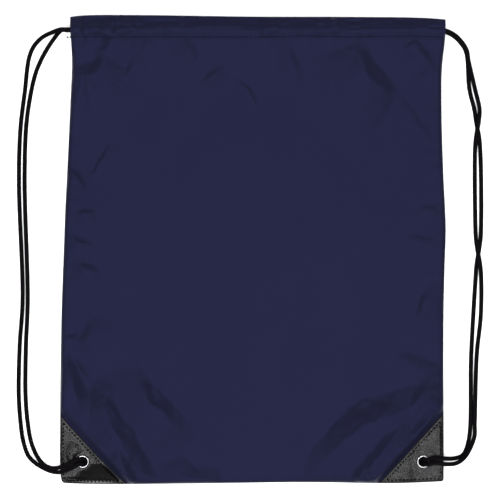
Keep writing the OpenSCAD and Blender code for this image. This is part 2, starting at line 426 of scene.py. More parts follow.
def leather_material():
    """Grained synthetic leather: a pebbled surface, worn lighter in places, and a dark rim at its cut edge
    that is painted shade for the shadow line round the patch.
    """
    m = Nodes("corner_leather")
    place = m.object_place()
    cells = m.add(
        "TexVoronoi", {"feature": "DISTANCE_TO_EDGE"}, Vector=place, Scale=LEATHER_PEBBLES, Randomness=1.0
    ).outputs["Distance"]
    pebble = m.math("MINIMUM", m.math("MULTIPLY", cells, 4.0), 1.0)
    fine = m.noise(2600.0, 2.0)
    wear = m.noise(50.0, 3.0)
    height = m.scaled(fine, 0.35, pebble)
    colour = m.ramp(m.scaled(pebble, 0.25, wear), LEATHER_RAMP)
    uv = m.add("UVMap", {"uv_map": "flat_cloth"}).outputs[0]
    inset = m.add("SeparateXYZ", Vector=uv).outputs[0]
    # Painted shade: cut is 0 on the patch's rim, which gets the dark painted-shade colour and more
    # roughness, and 1 inside it.
    cut = m.add(
        "MapRange", {"interpolation_type": "SMOOTHSTEP"},
        Value=inset, From_Min=LEATHER_RIM_SHADE_M[0], From_Max=LEATHER_RIM_SHADE_M[1],
    ).outputs["Result"]
    whole = m.add("Mix", {"data_type": "RGBA"}, Factor=cut, in_6=LEATHER_RIM_SHADE, in_7=colour)
    worn = m.scaled(wear, 0.2, LEATHER_ROUGHNESS)
    roughness = m.scaled(m.math("SUBTRACT", 1.0, cut), 0.6, worn)
    m.surface(Base_Color=whole.outputs[2], Normal=m.bump(height, 0.4, 0.0003))
    m.surface(Roughness=roughness, Specular_IOR_Level=0.13)
    return m.material


def cord_material():
    """Black braided polyester: short yarns across the braid's own bumps."""
    m = Nodes("drawcord")
    yarn = m.noise(CORD_YARNS, 3.0)
    patch = m.noise(90.0, 2.0)
    shade = m.scaled(yarn, 0.6, m.math("MULTIPLY", patch, 0.4))
    m.surface(Base_Color=m.ramp(shade, CORD_RAMP), Normal=m.bump(yarn, 0.5, 0.00012))
    m.surface(Roughness=m.scaled(patch, 0.2, 0.7), Specular_IOR_Level=0.3, IOR=BLACK_IOR)
    return m.material


def metal_material():
    """Nickel plate with faint scratches and cloudiness."""
    m = Nodes("eyelet_metal")
    cloud = m.noise(320.0, 3.0)
    scratch = m.noise(METAL_SCRATCHES, 2.0)
    m.surface(Base_Color=m.ramp(cloud, METAL_RAMP), Metallic=1.0)
    m.surface(Roughness=m.scaled(cloud, 0.16, METAL_ROUGHNESS), Normal=m.bump(scratch, 0.12, 0.00004))
    return m.material


def thread_material(name, stops):
    """Twisted sewing thread."""
    m = Nodes(name)
    split = m.add("SeparateXYZ", Vector=m.object_place())
    across = m.math("ADD", split.outputs[0], split.outputs[1])
    twist = m.math("SINE", m.math("MULTIPLY", across, 2 * math.pi / THREAD_TWIST_M))
    shade = m.scaled(twist, 0.25, m.noise(900.0, 2.0))
    m.surface(Base_Color=m.ramp(shade, stops), Normal=m.bump(twist, 0.4, 0.00008))
    m.surface(Roughness=0.6, IOR=BLACK_IOR)
    return m.material


CLOTH = cloth_material()
LEATHER = leather_material()
CORD = cord_material()
METAL = metal_material()
CLOTH_THREAD = thread_material("cloth_thread", CLOTH_THREAD_RAMP)
PATCH_THREAD = thread_material("patch_thread", PATCH_THREAD_RAMP)

# ---- camera, floor and light ----

# The view looks straight down, and is this wide at the height of the bag's own middle.
VIEW_WIDTH = 448.5
VIEW_CENTRE = (-2.7, -0.4)
VIEW_FOCUS_Z = 7.0
LENS = 250.0
SENSOR = 36.0
FLOOR_HALF_M = 6.0
FLOOR_DROP_M = 0.0004
WORLD_STRENGTH = 0.5


def set_camera():
    camera = bpy.data.cameras.new("camera")
    camera.lens = LENS
    camera.sensor_width = SENSOR
    camera.clip_start = 0.05
    camera.clip_end = 20
    holder = add_object("camera", camera)
    height = VIEW_FOCUS_Z + VIEW_WIDTH * LENS / SENSOR
    holder.location = (VIEW_CENTRE[0] * MM, VIEW_CENTRE[1] * MM, height * MM)
    bpy.context.scene.camera = holder


def set_floor():
    m = Nodes("floor")
    m.surface(Base_Color=m.ramp(m.noise(3.0), FLOOR_RAMP), Roughness=0.9, Specular_IOR_Level=0.0)
    mesh = bpy.data.meshes.new("floor")
    corners = [(x * FLOOR_HALF_M, y * FLOOR_HALF_M, 0) for x, y in ((-1, -1), (1, -1), (1, 1), (-1, 1))]
    mesh.from_pydata(corners, [], [[0, 1, 2, 3]])
    mesh.materials.append(m.material)
    floor = add_object("floor", mesh)
    floor.location = (0, 0, -FLOOR_DROP_M)


def add_light(name, place, size, power):
    """A round area light at a place in metres, aimed at the middle of the bag."""
    light = bpy.data.lights.new(name, "AREA")
    light.shape = "DISK"
    light.size = size
    light.energy = power
    holder = add_object(name, light)
    holder.location = place
    holder.rotation_mode = "QUATERNION"
    holder.rotation_quaternion = (-holder.location).to_track_quat("-Z", "Y")


def set_lights():
    world = bpy.data.worlds.new("studio")
    world.use_nodes = True
    background = world.node_tree.nodes["Background"]
    background.inputs["Color"].default_value = (1, 1, 1, 1)
    background.inputs["Strength"].default_value = WORLD_STRENGTH
    bpy.context.scene.world = world
    add_light("overhead", place=(0, -0.3, 4.0), size=3.0, power=305)
    add_light("front_light", place=(-0.3, -1.9, 1.6), size=0.8, power=20)
    bpy.context.scene.view_settings.view_transform = "Standard"
    bpy.context.scene.view_settings.look = "None"


set_camera()
set_floor()
set_lights()

# ---- cords ----

# The free strands, from the channel's end round to the eyelet: the routes of the solids, in metres.
ROUTES = {
    "left_front_strand": [
        (-.167, .197, .013), (-.1725, .197, .013), (-.18, .1946, .01), (-.189, .1904, .0056),
        (-.1965, .183, .0026), (-.201, .173, .002), (-.205, .142, .002), (-.209, .108, .002),
        (-.2103, .06, .002), (-.207, -.045, .002), (-.2096, -.086, .002), (-.2105, -.13, .002),
        (-.2088, -.156, .002), (-.2065, -.172, .002), (-.202, -.185, .002), (-.1965, -.191, .0026),
        (-.19, -.1952, .0046), (-.1815, -.1986, .009), (-.173, -.1992, .0148), (-.165, -.1966, .0151),
        (-.1585, -.1933, .0151)],
    "left_back_strand": [
        (-.167, .197, .0026), (-.172, .197, .0026), (-.1785, .1898, .002), (-.1845, .181, .002),
        (-.1905, .17, .002), (-.196, .156, .002), (-.203, .118, .002), (-.2052, .066, .002),
        (-.2024, -.045, .002), (-.204, -.086, .002), (-.2044, -.13, .002), (-.2024, -.156, .002),
        (-.1996, -.172, .002), (-.1955, -.183, .0024), (-.1916, -.189, .005), (-.187, -.1932, .0094),
        (-.1805, -.1956, .0134), (-.173, -.1949, .0151), (-.1655, -.192, .0151),
        (-.1585, -.1886, .0151)],
    "right_front_strand": [
        (.167, .1958, .013), (.1725, .1958, .013), (.18, .1926, .0108), (.187, .1862, .0082),
        (.1918, .1785, .0066), (.1932, .17, .0063), (.1994, .144, .0036), (.2034, .126, .004),
        (.2026, .115, .0064), (.2004, .103, .0064), (.1994, .088, .002), (.2, .014, .002),
        (.201, .002, .0064), (.2038, -.014, .0064), (.205, -.028, .002), (.2046, -.06, .002),
        (.201, -.095, .002), (.1992, -.155, .002), (.1986, -.169, .0034), (.1902, -.1858, .0078),
        (.1818, -.1914, .0124), (.1725, -.192, .0151), (.163, -.1906, .0151)],
    "right_back_strand": [
        (.167, .1958, .0026), (.172, .1958, .0026), (.18, .192, .002), (.187, .1852, .002),
        (.1916, .177, .002), (.1944, .144, .002), (.1988, .126, .002), (.2006, .114, .002),
        (.2036, .097, .002), (.2046, .012, .002), (.2034, .002, .002), (.2008, -.014, .002),
        (.1998, -.028, .002), (.196, -.095, .002), (.194, -.17, .002), (.189, -.184, .0032),
        (.1815, -.187, .0088), (.172, -.187, .0148), (.163, -.1862, .0151)],
}
CORD_STEP = 0.5
CORD_SIDES = 24
STRAND_FOOT_Z = 8.0
EYELET_LANE = 2.05

# The runs in the channels: where the drawn ones end, where the solids' end, and how long those are.
RUN_END_X = 158.0
RUN_OUT_X = 167.0
RUN_LENGTH = 332.1

# Each cord's y where it leaves the channels and where it turns back at the other side, and how far its
# runs dip into the channels at those two ends.
RUN_Y = {"left": (197.0, 200.6), "right": (195.8, 192.6)}
RUN_DIP = {"left": (0.3, 0.9), "right": (0.3, 1.1)}


def along_run(ends, name, x):
    """A value at x between a cord's values at its exit and at its turn."""
    return mix(*ends, (RUN_OUT_X - SIDES[name] * x) / RUN_LENGTH)


def strand_path(node, side):
    """The route, then over the eyelet's rim and down into its hole. In millimetres."""
    sign = SIDES[side]
    at_back = 1 if node.endswith("back_strand") else -1
    lane = EYELET_LANE * at_back
    entry = [
        (sign * (EYELET_X + 4.5), EYELET_Y + lane * 1.05, EYELET_TOP_Z + 2.3),
        (sign * (EYELET_X + 0.6), EYELET_Y + lane, EYELET_TOP_Z + 0.6),
        (sign * EYELET_X, EYELET_Y + lane, STRAND_FOOT_Z),
    ]
    route = [tuple(v / MM for v in p) for p in ROUTES[node]]
    inside_z = route[0][2] + RUN_DIP[side][0] * at_back
    inside = [
        (x, along_run(RUN_Y[side], side, x), inside_z)
        for x in (sign * (RUN_END_X - 1), sign * (RUN_END_X + 4))
    ]
    path = smooth_curve(inside + route + entry, CORD_STEP)
    path[:, 2] = np.maximum(path[:, 2], CORD_R + 0.05)
    return path


def make_strand(node, side):
    path = strand_path(node, side)
    piece = cord_piece(node + "_braid", [path], CORD_SIDES)
    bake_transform(piece)
    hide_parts(node)


for side in SIDES:
    for place in ("front", "back"):
        make_strand(f"{side}_{place}_strand", side)

# ---- the bag's outline ----

# Each edge is a little wavy: its points lie on the real bag's edge, in millimetres.
LEFT_EDGE = edge_of([
    (-210, -171), (-200, -172.5), (-163, -172.8), (-63, -171.8), (-4, -169.8), (36, -168.3),
    (76, -166.3), (130, -163.8), (170, -162.3), (200, -163.6), (210, -163.8)])
RIGHT_EDGE = edge_of([
    (-210, 170.8), (-63, 170.8), (-15, 171.8), (19, 172.8), (65, 170.8), (116, 169.2),
    (160, 169.3), (188, 171.8), (210, 172.6)])
TOP_EDGE = edge_of([
    (-175, 208.4), (-164, 208.6), (-150, 209.8), (-100, 210), (0, 208.6), (80, 208.4), (150, 207.6),
    (175, 206)])
BOTTOM_EDGE = edge_of([
    (-175, -208.4), (-168, -209.2), (-155, -209.8), (-83, -210), (-12, -209.2), (42, -208.6), (132, -209.2),
    (175, -207.4)])
CORNER_R = 2.2

# The side seams: their height, which is more at the bottom corners, and where the slit at the mouth begins.
SEAM_Z = 7.6
CORNER_SEAM_Z = 10.2
SLIT_LOW_Y = 165.0

# How far in from the edge each cloth takes to rise to its own height.
FRONT_EDGE_RISE = 4.0
BACK_EDGE_RISE = 10.0

# The slope beside a corner patch, and the strip where its edge holds the cloth down, as corner spans.
CORNER_SLOPE = (1.05, 1.75)
PATCH_RIM = (1.0, 1.14)


def side_x(s, y):
    """x at a share s of the way from the middle (0) to the left (-1) or right (1) edge."""
    return np.where(s < 0, -s * LEFT_EDGE(y), s * RIGHT_EDGE(y))


def insets(x, y):
    """Distances of a point from the nearer side edge and from the bottom edge."""
    side = np.where(x < 0, x - LEFT_EDGE(y), RIGHT_EDGE(y) - x)
    return side, y - BOTTOM_EDGE(x)


def round_corner(x, y):
    """Draws the points near a bottom corner in, so that the corner is round."""
    from_side, from_bottom = insets(x, y)
    u = np.clip(1 - from_side / CORNER_R, 0, 1)
    v = np.clip(1 - from_bottom / CORNER_R, 0, 1)
    new_x = x - np.sign(x) * CORNER_R * u * (1 - np.sqrt(1 - v * v / 2))
    return new_x, y + CORNER_R * v * (1 - np.sqrt(1 - u * u / 2))


def seam_y(x):
    """The lower edge of the channels, a little wavy."""
    return SEAM_Y + 0.5 * value_noise(x / 45, np.zeros_like(x), 3)


def corner_span(x, y):
    """How far a place is from its bottom corner, where 1 is at the long edge of the patch."""
    from_side, from_bottom = insets(x, y)
    return from_side / PATCH_W + from_bottom / PATCH_H


def corner_share(x, y):
    """1 over a corner patch, falling to 0 away from it."""
    return 1 - smooth(*CORNER_SLOPE, corner_span(x, y))


def edge_rise(x, y, width):
    """0 at the bag's edge and 1 a width inside it, as a quarter circle."""
    from_side, from_bottom = insets(x, y)
    u = np.clip(1 - from_side / width, 0, 1)
    v = np.clip(1 - from_bottom / width, 0, 1)
    return np.sqrt(1 - np.clip(u * u + v * v, 0, 1))


# ---- folds of the cloth ----

# Each fold: the width of its shaded slope, the line that the slope's middle follows, in millimetres,
# and how steep the slope is, where it isn't FOLD_SLOPE.
FOLDS = [
    (6, [(-118, 203), (-128, 191), (-136, 180), (-144, 172)]),
    (11, [(-131, 176), (-140, 166), (-150, 161), (-160, 164)]),
    (4, [(-107, 178), (-110, 165), (-116, 149)]),
    (5, [(-63, 190), (-56, 181), (-48, 168)], 0.32),
    (4, [(-96, 190), (-86, 182)], 0.2),
    (4, [(30, 186), (39, 167), (42, 146)]),
    (14, [(97, 187), (102, 171), (114, 153), (132, 141)], 0.42),
    (4, [(130, 143), (144, 122), (162, 95)], 0.2),
    (6, [(152, 184), (157, 172), (165, 161)], 0.3),
    (4, [(134, 181), (140, 184), (147, 190)]),
    (4, [(-27, 164), (-48, 152)]),
    (3, [(-18, 158), (0, 137), (6, 122)]),
    (5, [(-163, 76), (-154, 62), (-149, 50)]),
    (3, [(-125, 98), (-149, 62)]),
    (4, [(-160, 35), (-140, 35)]),
    (5, [(-163, 14), (-143, 2)]),
    (5, [(-161, -9), (-134, -18)]),
    (7, [(-144, -58), (-150, -74), (-158, -90)], 0.3),
    (4, [(-171, -72), (-165, -78), (-158, -74)]),
    (11, [(-170, -86), (-160, -112), (-152, -135), (-148, -165)], 0.56),
    (4, [(-161, -94), (-152, -108), (-145, -122)]),
    (14, [(-142, -122), (-127, -145), (-114, -164), (-102, -187), (-80, -210)], 0.6),
    (6, [(-129, -116), (-126, -134), (-119, -152)]),
    (13, [(-104, -100), (-97, -118), (-86, -134), (-73, -145), (-50, -170)], 0.4),
    (7, [(-119, -176), (-112, -193), (-102, -212)], 0.6),
    (10, [(-64, -182), (-55, -200), (-30, -198)], 0.34),
    (20, [(176, -104), (150, -127), (126, -136), (96, -148), (75, -166), (57, -187), (42, -208)], 0.42),
    (5, [(160, -112), (152, -124), (138, -146)]),
    (8, [(170, -132), (153, -152), (141, -167), (126, -184)], 0.5),
    (10, [(133, -154), (111, -180), (96, -196), (84, -210)], 0.55),
    (6, [(100, -198), (90, -202)]),
    (9, [(128, -90), (150, -100), (174, -106)], 0.27),
    (5, [(163, -30), (153, -45), (145, -66)]),
    (3, [(135, 11), (168, 10)]),
    (3, [(147, 38), (168, 38)]),
    (4, [(-156, 212), (-154, 199), (-149, 184)], 0.8),
    (4, [(-144, 207), (-133, 194)], 0.6),
    (4, [(-112, 210), (-104, 195)], 0.6),
    (4, [(72, 209), (80, 196)], 0.5),
    (3, [(20, 206), (24, 196)]),
]
FOLD_SLOPE = 0.42
FOLD_FOOT = 5.0
FOLD_STEP = 3.0


def fold_height(x, y, width, line, slope=FOLD_SLOPE):
    """A crease: a steep side towards the top of the bag, pointed at both ends, and a long low rise."""
    line = smooth_curve(line, FOLD_STEP)
    turned = 1 if line[-1][0] > line[0][0] else -1
    best = np.full(x.shape, 1e9)
    past, share = np.zeros(x.shape), np.zeros(x.shape)
    for k in range(len(line) - 1):
        a, run = line[k], line[k + 1] - line[k]
        t = np.clip(((x - a[0]) * run[0] + (y - a[1]) * run[1]) / (run @ run), 0, 1)
        off_x, off_y = x - a[0] - t * run[0], y - a[1] - t * run[1]
        away = np.hypot(off_x, off_y)
        upward = (off_y * run[0] - off_x * run[1]) * turned
        nearer = away < best
        best = np.where(nearer, away, best)
        past = np.where(nearer, away * np.where(upward > 0, 1, -1), past)
        share = np.where(nearer, (k + t) / (len(line) - 1), share)
    lens = np.clip(4 * share * (1 - share), 0, 1) ** 0.8
    wide = width * (0.05 + 0.95 * lens)
    falling = np.clip(0.5 - past / wide, 0, 1)
    rising = 1 - smooth(0, FOLD_FOOT * width, -past - wide / 2)
    return slope * wide * lens * np.where(past > -wide / 2, falling, rising)


def ripple(x, y, grain, seed):
    """Sharp-topped creases, from 0 to 1."""
    return 1 - np.abs(value_noise(x / grain + 11.3, y / grain + 5.7, seed))


def wander(x, y, seed):
    """How far a fold's line strays from its smooth curve."""
    return 1.6 * value_noise(x / 9, y / 9, seed) + 0.7 * value_noise(x / 3.5, y / 3.5, seed + 1)


def crumple(x, y):
    """The folds and creases of the front, its channel included."""
    strayed_x, strayed_y = x + wander(x, y, 61), y + wander(x, y, 63)
    return sum(fold_height(strayed_x, strayed_y, *fold) for fold in FOLDS)


def wrinkles(x, y):
    """How far the front cloth stands off its own smooth shape."""
    total = crumple(x, y) + 0.25 * value_noise(x / 60, y / 60, 1) + 0.1 * value_noise(x / 24, y / 24, 2)
    from_side, from_bottom = insets(x, y)
    beside = np.exp(-from_side / 9) * smooth(0, 3, from_side)
    above = np.exp(-from_bottom / 9) * smooth(0, 3, from_bottom)
    below = np.exp(-(seam_y(x) - y) / 7)
    total = total + 1.0 * beside * value_noise(x / 30, y / 6, 4)
    total = total + 0.6 * above * value_noise(x / 7, y / 30, 5)
    return total + 0.6 * below * value_noise(x / 5, y / 30, 6)


FRONT_SEAM_Z = FRONT_CORD_Z + 0.9
FRONT_SAG = 0.4
BACK_SEAM_Z = BACK_CORD_Z - 1.8
SLIT_ROLL = 0.6
MOUTH_SLOPE = 55


def front_z(x, y):
    """The front cloth's upper surface."""
    corner = corner_share(x, y)
    slit = smooth(SLIT_LOW_Y, SEAM_Y, y)
    to_mouth = smooth(SEAM_Y - MOUTH_SLOPE, SEAM_Y + 5, y)
    edge = mix(mix(SEAM_Z, CORNER_SEAM_Z, corner), FRONT_SEAM_Z - SLIT_ROLL, slit)
    top = mix(mix(FRONT_Z - FRONT_SAG, FRONT_Z, corner), FRONT_SEAM_Z, to_mouth)
    rise = edge_rise(x, y, FRONT_EDGE_RISE)
    loose = smooth(*PATCH_RIM, corner_span(x, y))
    return mix(edge, top, rise) + wrinkles(x, y) * (0.25 + 0.75 * rise) * (0.12 + 0.88 * loose)


BACK_LOW_Z = 0.05
BACK_CORNER_Z = BACK_PATCH_Z + 0.95


def back_z(x, y):
    """The back cloth's lower surface."""
    corner = corner_share(x, y)
    slit = smooth(SLIT_LOW_Y, SEAM_Y, y)
    edge = mix(mix(SEAM_Z, CORNER_SEAM_Z - 0.1, corner), BACK_SEAM_Z + SLIT_ROLL, slit) - CLOTH_T
    flat = mix(mix(BACK_LOW_Z, BACK_CORNER_Z, corner), BACK_SEAM_Z, smooth(175, SEAM_Y, y))
    lift = 0.5 * ripple(x, y, 38, 7) ** 2 + 0.25 * ripple(x, y, 17, 8) ** 3
    return mix(edge, flat, edge_rise(x, y, BACK_EDGE_RISE)) + lift * (1 - corner)


# ---- front and back cloth ----

PANEL_STEPS = {"front_panel": 1.6, "back_panel": 2.4}
PANEL_TUCK = 0.9
PANEL_DIP = 0.45
EYELET_CENTRES = {side: np.array([sign * EYELET_X, EYELET_Y]) for side, sign in SIDES.items()}
CLOTH_HOLE_R = 5.0
EYELET_HOLES = [(centre, CLOTH_HOLE_R) for centre in EYELET_CENTRES.values()]


def stand_in(piece, node, side, bent=True):
    """Puts a piece in a node's place. With bent, its placement is baked into its points; otherwise it rides
    on the side.
    """
    if bent:
        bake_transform(piece)
    else:
        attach(piece, f"{side}_side")
    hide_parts(node)


def two_halves(name, outer, normals, turned, holes=()):
    """Cloth given as a grid of points, cut at its middle column into a left and a right piece."""
    middle = outer.shape[1] // 2
    flat = np.stack(np.broadcast_arrays(outer[..., 0], arc_length(outer)), axis=2)
    for side, columns in (("left", slice(0, middle + 1)), ("right", slice(middle, None))):
        part = outer[:, columns]
        piece = thick_sheet(
            f"{name}_{side}", part.reshape(-1, 3), normals[:, columns].reshape(-1, 3),
            grid_faces(*part.shape[:2], flip=turned), CLOTH_T, CLOTH,
            flat[:, columns].reshape(-1, 2), holes,
        )
        stand_in(piece, name, side)


def arc_length(grid):
    """How far each point of a grid is from the grid's first row, along its column."""
    steps = np.linalg.norm(np.diff(grid, axis=0), axis=2)
    return np.concatenate([np.zeros((1, grid.shape[1])), np.cumsum(steps, axis=0)])


def make_panel(name, height, turned):
    """One whole cloth, whose top row is tucked under the channel's lower edge."""
    columns = 2 * round(BOTTOM_HALF / PANEL_STEPS[name]) + 1
    rows = round((SEAM_Y - BOTTOM_EDGE(0)) / PANEL_STEPS[name]) + 1
    s, t = np.meshgrid(np.linspace(-1, 1, columns), np.linspace(0, 1, rows))
    y = mix(BOTTOM_EDGE(0), SEAM_Y, t)
    for _ in range(3):
        x = side_x(s, y)
        y = mix(BOTTOM_EDGE(x), seam_y(x) + PANEL_TUCK, t)
    x, y = round_corner(x, y)
    outer = np.stack([x, y, height(x, y)], axis=2)
    outer[-1, :, 2] -= PANEL_DIP * (-1 if turned else 1)
    normals = grid_normals(outer) * (-1 if turned else 1)
    two_halves(name, outer, normals, turned, EYELET_HOLES)


make_panel("front_panel", front_z, False)
make_panel("back_panel", back_z, True)

# ---- channels along the mouth ----

CHANNEL_STEP = 1.5
CHANNEL_ROWS = 22
CHANNEL_DEPTH = 20.0
END_HEM = 8.0
END_HEM_STEP = 0.4
CORD_SLACK = 0.4
CORD_HUG = 0.25

# A channel's outer and inner cloth: distances from its seam, and outwards from the cord's middle.
CHANNEL_OUTER = edge_of([
    (0, 1.0), (3, 1.9), (7, 2.5), (11, 1.45), (15, 0), (18.5, -1.1), (20, -1.7)], 0.2)
CHANNEL_INNER = edge_of([
    (0, -1), (2, -3), (5, -3.3), (10.5, -3.3), (15, -2.9), (18.5, -2.4), (20, -1.7)], 0.2)


def channel_layer(profile, surface, step, cord_z, outward, x, f, joined_at):
    """Height of one layer of a channel, from the panel at its seam to its folded edge."""
    at_seam = surface(x, seam_y(x)) + outward * step
    on_cord = cord_z + outward * profile(f * CHANNEL_DEPTH)
    return mix(at_seam, on_cord, smooth(0, joined_at, f))


def channel_crease(x, y, f):
    """Small upright creases where the channel's cloth is gathered, clear of its folded edge."""
    fine = np.clip(value_noise(x / 4.5, y / 30, 21) + 0.6 * value_noise(x / 11, y / 15, 22), 0, 1)
    return 1.1 * fine * smooth(0, 0.15, 1 - f)


def on_cords(x, y):
    """How far outwards the cloth lies where it rests on the cords, from the cords' middle."""
    tops = []
    for name in SIDES:
        across = y - along_run(RUN_Y[name], name, x)
        tops.append(CORD_R + CORD_SLACK - along_run(RUN_DIP[name], name, x) - CORD_HUG * across**2)
    return np.maximum(*tops)


def outer_channel_z(surface, cord_z, outward, x, y, f):
    """Height of a channel's outer cloth at a share f of the way from its seam to its folded edge."""
    uneven = f + 0.09 * value_noise(x / 9, y / 40, 27) * f * smooth(0, 0.3, 1 - f)
    z = channel_layer(CHANNEL_OUTER, surface, 0.05, cord_z, outward, x, uneven, 0.25)
    hem = 1 - smooth(END_HEM - 1, END_HEM + 1, insets(x, y)[0])
    z = z + outward * END_HEM_STEP * hem * smooth(0, 0.2, f)
    slack = 0.8 * value_noise(x / 15, y / 4, 29) * smooth(0.35, 0.5, f) * smooth(0, 0.12, 1 - f)
    creased = channel_crease(x, y, f) * smooth(0, 0.12, f) + slack
    z = z + outward * creased * (1 if outward > 0 else 0.1)
    return cord_z + outward * np.maximum(outward * (z - cord_z), on_cords(x, y))


def make_channel(name, surface, cord_z, outward):
    """A strip of cloth folded along the mouth: its rows go up one layer and come back down the other."""
    columns = 2 * round(BOTTOM_HALF / CHANNEL_STEP) + 1
    up = np.sin(np.linspace(0, math.pi / 2, CHANNEL_ROWS))
    s, f = np.meshgrid(np.linspace(-1, 1, columns), np.concatenate([up, up[-2::-1]]))
    x = side_x(s, mix(SEAM_Y, TOP_EDGE(0), f))
    y = mix(seam_y(x), TOP_EDGE(x), f)
    outer_z = outer_channel_z(surface, cord_z, outward, x, y, f)
    if outward > 0:
        outer_z = outer_z + crumple(x, y) * smooth(0, 0.25, f) * smooth(0, 0.15, 1 - f)
    inner_z = channel_layer(CHANNEL_INNER, surface, -1.0, cord_z, outward, x, f, 0.12)
    rising = np.arange(len(f))[:, None] < CHANNEL_ROWS
    z = np.where(rising == (outward > 0), outer_z, inner_z)
    outer = np.stack([x, y, z], axis=2)
    two_halves(name, outer, grid_normals(outer), False)


CHANNELS = (("front", front_z, FRONT_CORD_Z, 1), ("back", back_z, BACK_CORD_Z, -1))

for place, surface, cord_z, outward in CHANNELS:
    make_channel(f"{place}_channel", surface, cord_z, outward)

# ---- corner patches ----

PATCH_DEPTH = PATCH_W * PATCH_H / math.hypot(PATCH_W, PATCH_H)
PATCH_CELLS = 56
LEATHER_T = 0.8
EYELET_DISH = 0.6
STITCH_INSET = 2.8

# Creases of the front patches, in the same form as FOLDS.
LEATHER_FOLDS = {
    "left": [
        (15, [(-160, -204), (-142, -199), (-118, -204)], 0.6),
        (4, [(-171, -204), (-150, -205.5), (-124, -206)], 0.8),
        (5, [(-166, -172), (-150, -180)], 0.3),
        (4, [(-168, -186), (-160, -182)], 0.3)],
    "right": [
        (7, [(150, -168), (160, -162), (166, -154)], 0.16),
        (8, [(142, -196), (128, -203)], 0.16)],
}


def patch_place(side, p, q):
    """x and y at shares p of the patch's foot and q of its height from the bag's bottom corner."""
    sign = SIDES[side]
    y = BOTTOM_EDGE(0) + q * PATCH_H
    for _ in range(3):
        x = side_x(sign, y) - sign * p * PATCH_W
        y = BOTTOM_EDGE(x) + q * PATCH_H
    return round_corner(x, y)


def patch_inset(p, q):
    """How far a place on a patch is from the nearest of its three edges."""
    return np.minimum(np.minimum(p * PATCH_W, q * PATCH_H), (1 - p - q) * PATCH_DEPTH)


def front_patch_z(side, x, y, inset):
    """The front patch's upper surface: rolled over at its edges and drawn in by its stitches."""
    z = mix(front_z(x, y), FRONT_Z - 0.05, 0.6) + 0.25 + LEATHER_T
    z = z - 0.6 * (1 - smooth(0, 1.6, inset)) - 0.35 * np.exp(-(((inset - STITCH_INSET) / 1.0) ** 2))
    z = z + 0.35 * value_noise(x / 16, y / 16, 41) * smooth(3, 8, inset)
    z = np.maximum(z, front_z(x, y) + LEATHER_T + 0.05)
    away = np.hypot(x - EYELET_CENTRES[side][0], y - EYELET_CENTRES[side][1])
    free = smooth(6, 10, away) * smooth(0.5, 4, inset)
    for fold in LEATHER_FOLDS[side]:
        z = z + free * fold_height(x, y, *fold)
    return mix(PATCH_TOP_Z - 0.1, z - EYELET_DISH * (1 - smooth(9, 15, away)), smooth(5.8, 9, away))


def back_patch_z(x, y, inset):
    """The back patch's lower surface."""
    z = BACK_PATCH_Z + 0.3 * (1 - smooth(0, 1.3, inset))
    z = z + 0.2 * np.exp(-(((inset - STITCH_INSET) / 0.8) ** 2))
    return z + 0.1 * value_noise(x / 9, y / 9, 42)


def make_patch(side, place):
    """A triangle of leather, with its points at equal shares of its foot and its height."""
    step = 1 / PATCH_CELLS
    index, points, faces = {}, [], []
    for i in range(PATCH_CELLS + 1):
        for j in range(PATCH_CELLS + 1 - i):
            index[i, j] = len(points)
            points.append((i * step, j * step))
    for i, j in index:
        if i + j < PATCH_CELLS:
            faces.append([index[i, j], index[i + 1, j], index[i, j + 1]])
        if i + j < PATCH_CELLS - 1:
            faces.append([index[i + 1, j], index[i + 1, j + 1], index[i, j + 1]])
    p, q = np.array(points).T
    upright = (side == "left") == (place == "front")
    if not upright:
        faces = [f[::-1] for f in faces]
    outer = patch_points(side, place, p, q)
    near = 0.002
    toward_p = patch_points(side, place, p + near, q) - patch_points(side, place, p - near, q)
    toward_q = patch_points(side, place, p, q + near) - patch_points(side, place, p, q - near)
    normals = np.cross(toward_p, toward_q)
    normals /= np.linalg.norm(normals, axis=1, keepdims=True)
    normals *= np.sign(normals[:, 2:]) * (1 if place == "front" else -1)
    piece = thick_sheet(
        f"{side}_{place}_leather", outer, normals, faces, LEATHER_T, LEATHER,
        np.stack([patch_inset(p, q), p * PATCH_W], axis=1),
        [(EYELET_CENTRES[side], CLOTH_HOLE_R)],
    )
    stand_in(piece, f"{side}_{place}_patch", side)


def patch_points(side, place, p, q):
    x, y = patch_place(side, p, q)
    inset = patch_inset(p, q)
    z = front_patch_z(side, x, y, inset) if place == "front" else back_patch_z(x, y, inset)
    return np.stack([x, y, z], axis=-1)


for side in SIDES:
    for place in ("front", "back"):
        make_patch(side, place)

# ---- stitches ----

STITCH_TAPER = [0.5, 0.95, 1, 0.95, 0.5]
STITCH_SIDES = 6
PATCH_STITCH_PITCH = 3.4
PATCH_STITCH_SHARE = 0.5
PATCH_THREAD_R = 0.68
CHANNEL_STITCH_Y = 0.7
CHANNEL_STITCH_END = 168
CHANNEL_STITCH_PITCH = 3.0
CHANNEL_STITCH_SHARE = 0.6
CHANNEL_THREAD_R = 0.42


def stitch(a, b, rise, thread_r):
    """One stitch: a short round thread whose ends go down into the cloth."""
    t = np.linspace(0, 1, len(STITCH_TAPER))[:, None]
    path = mix(a, b, t)
    path[:, 2] += rise * thread_r * (np.sin(math.pi * t[:, 0]) * 1.4 - 0.7)
    return tube(path, thread_r * np.array(STITCH_TAPER)[:, None], STITCH_SIDES)


def stitch_row(line, pitch, rise, share, thread_r):
    """Stitches along a line of points, each on the cloth for a share of its pitch."""
    along = walked(line)
    count = max(1, round(along[-1] / pitch))
    starts = (np.arange(count) + (1 - share) / 2) * along[-1] / count
    ends = starts + share * along[-1] / count
    pairs = zip(points_at(line, along, starts), points_at(line, along, ends))
    return [stitch(a, b, rise, thread_r) for a, b in pairs]


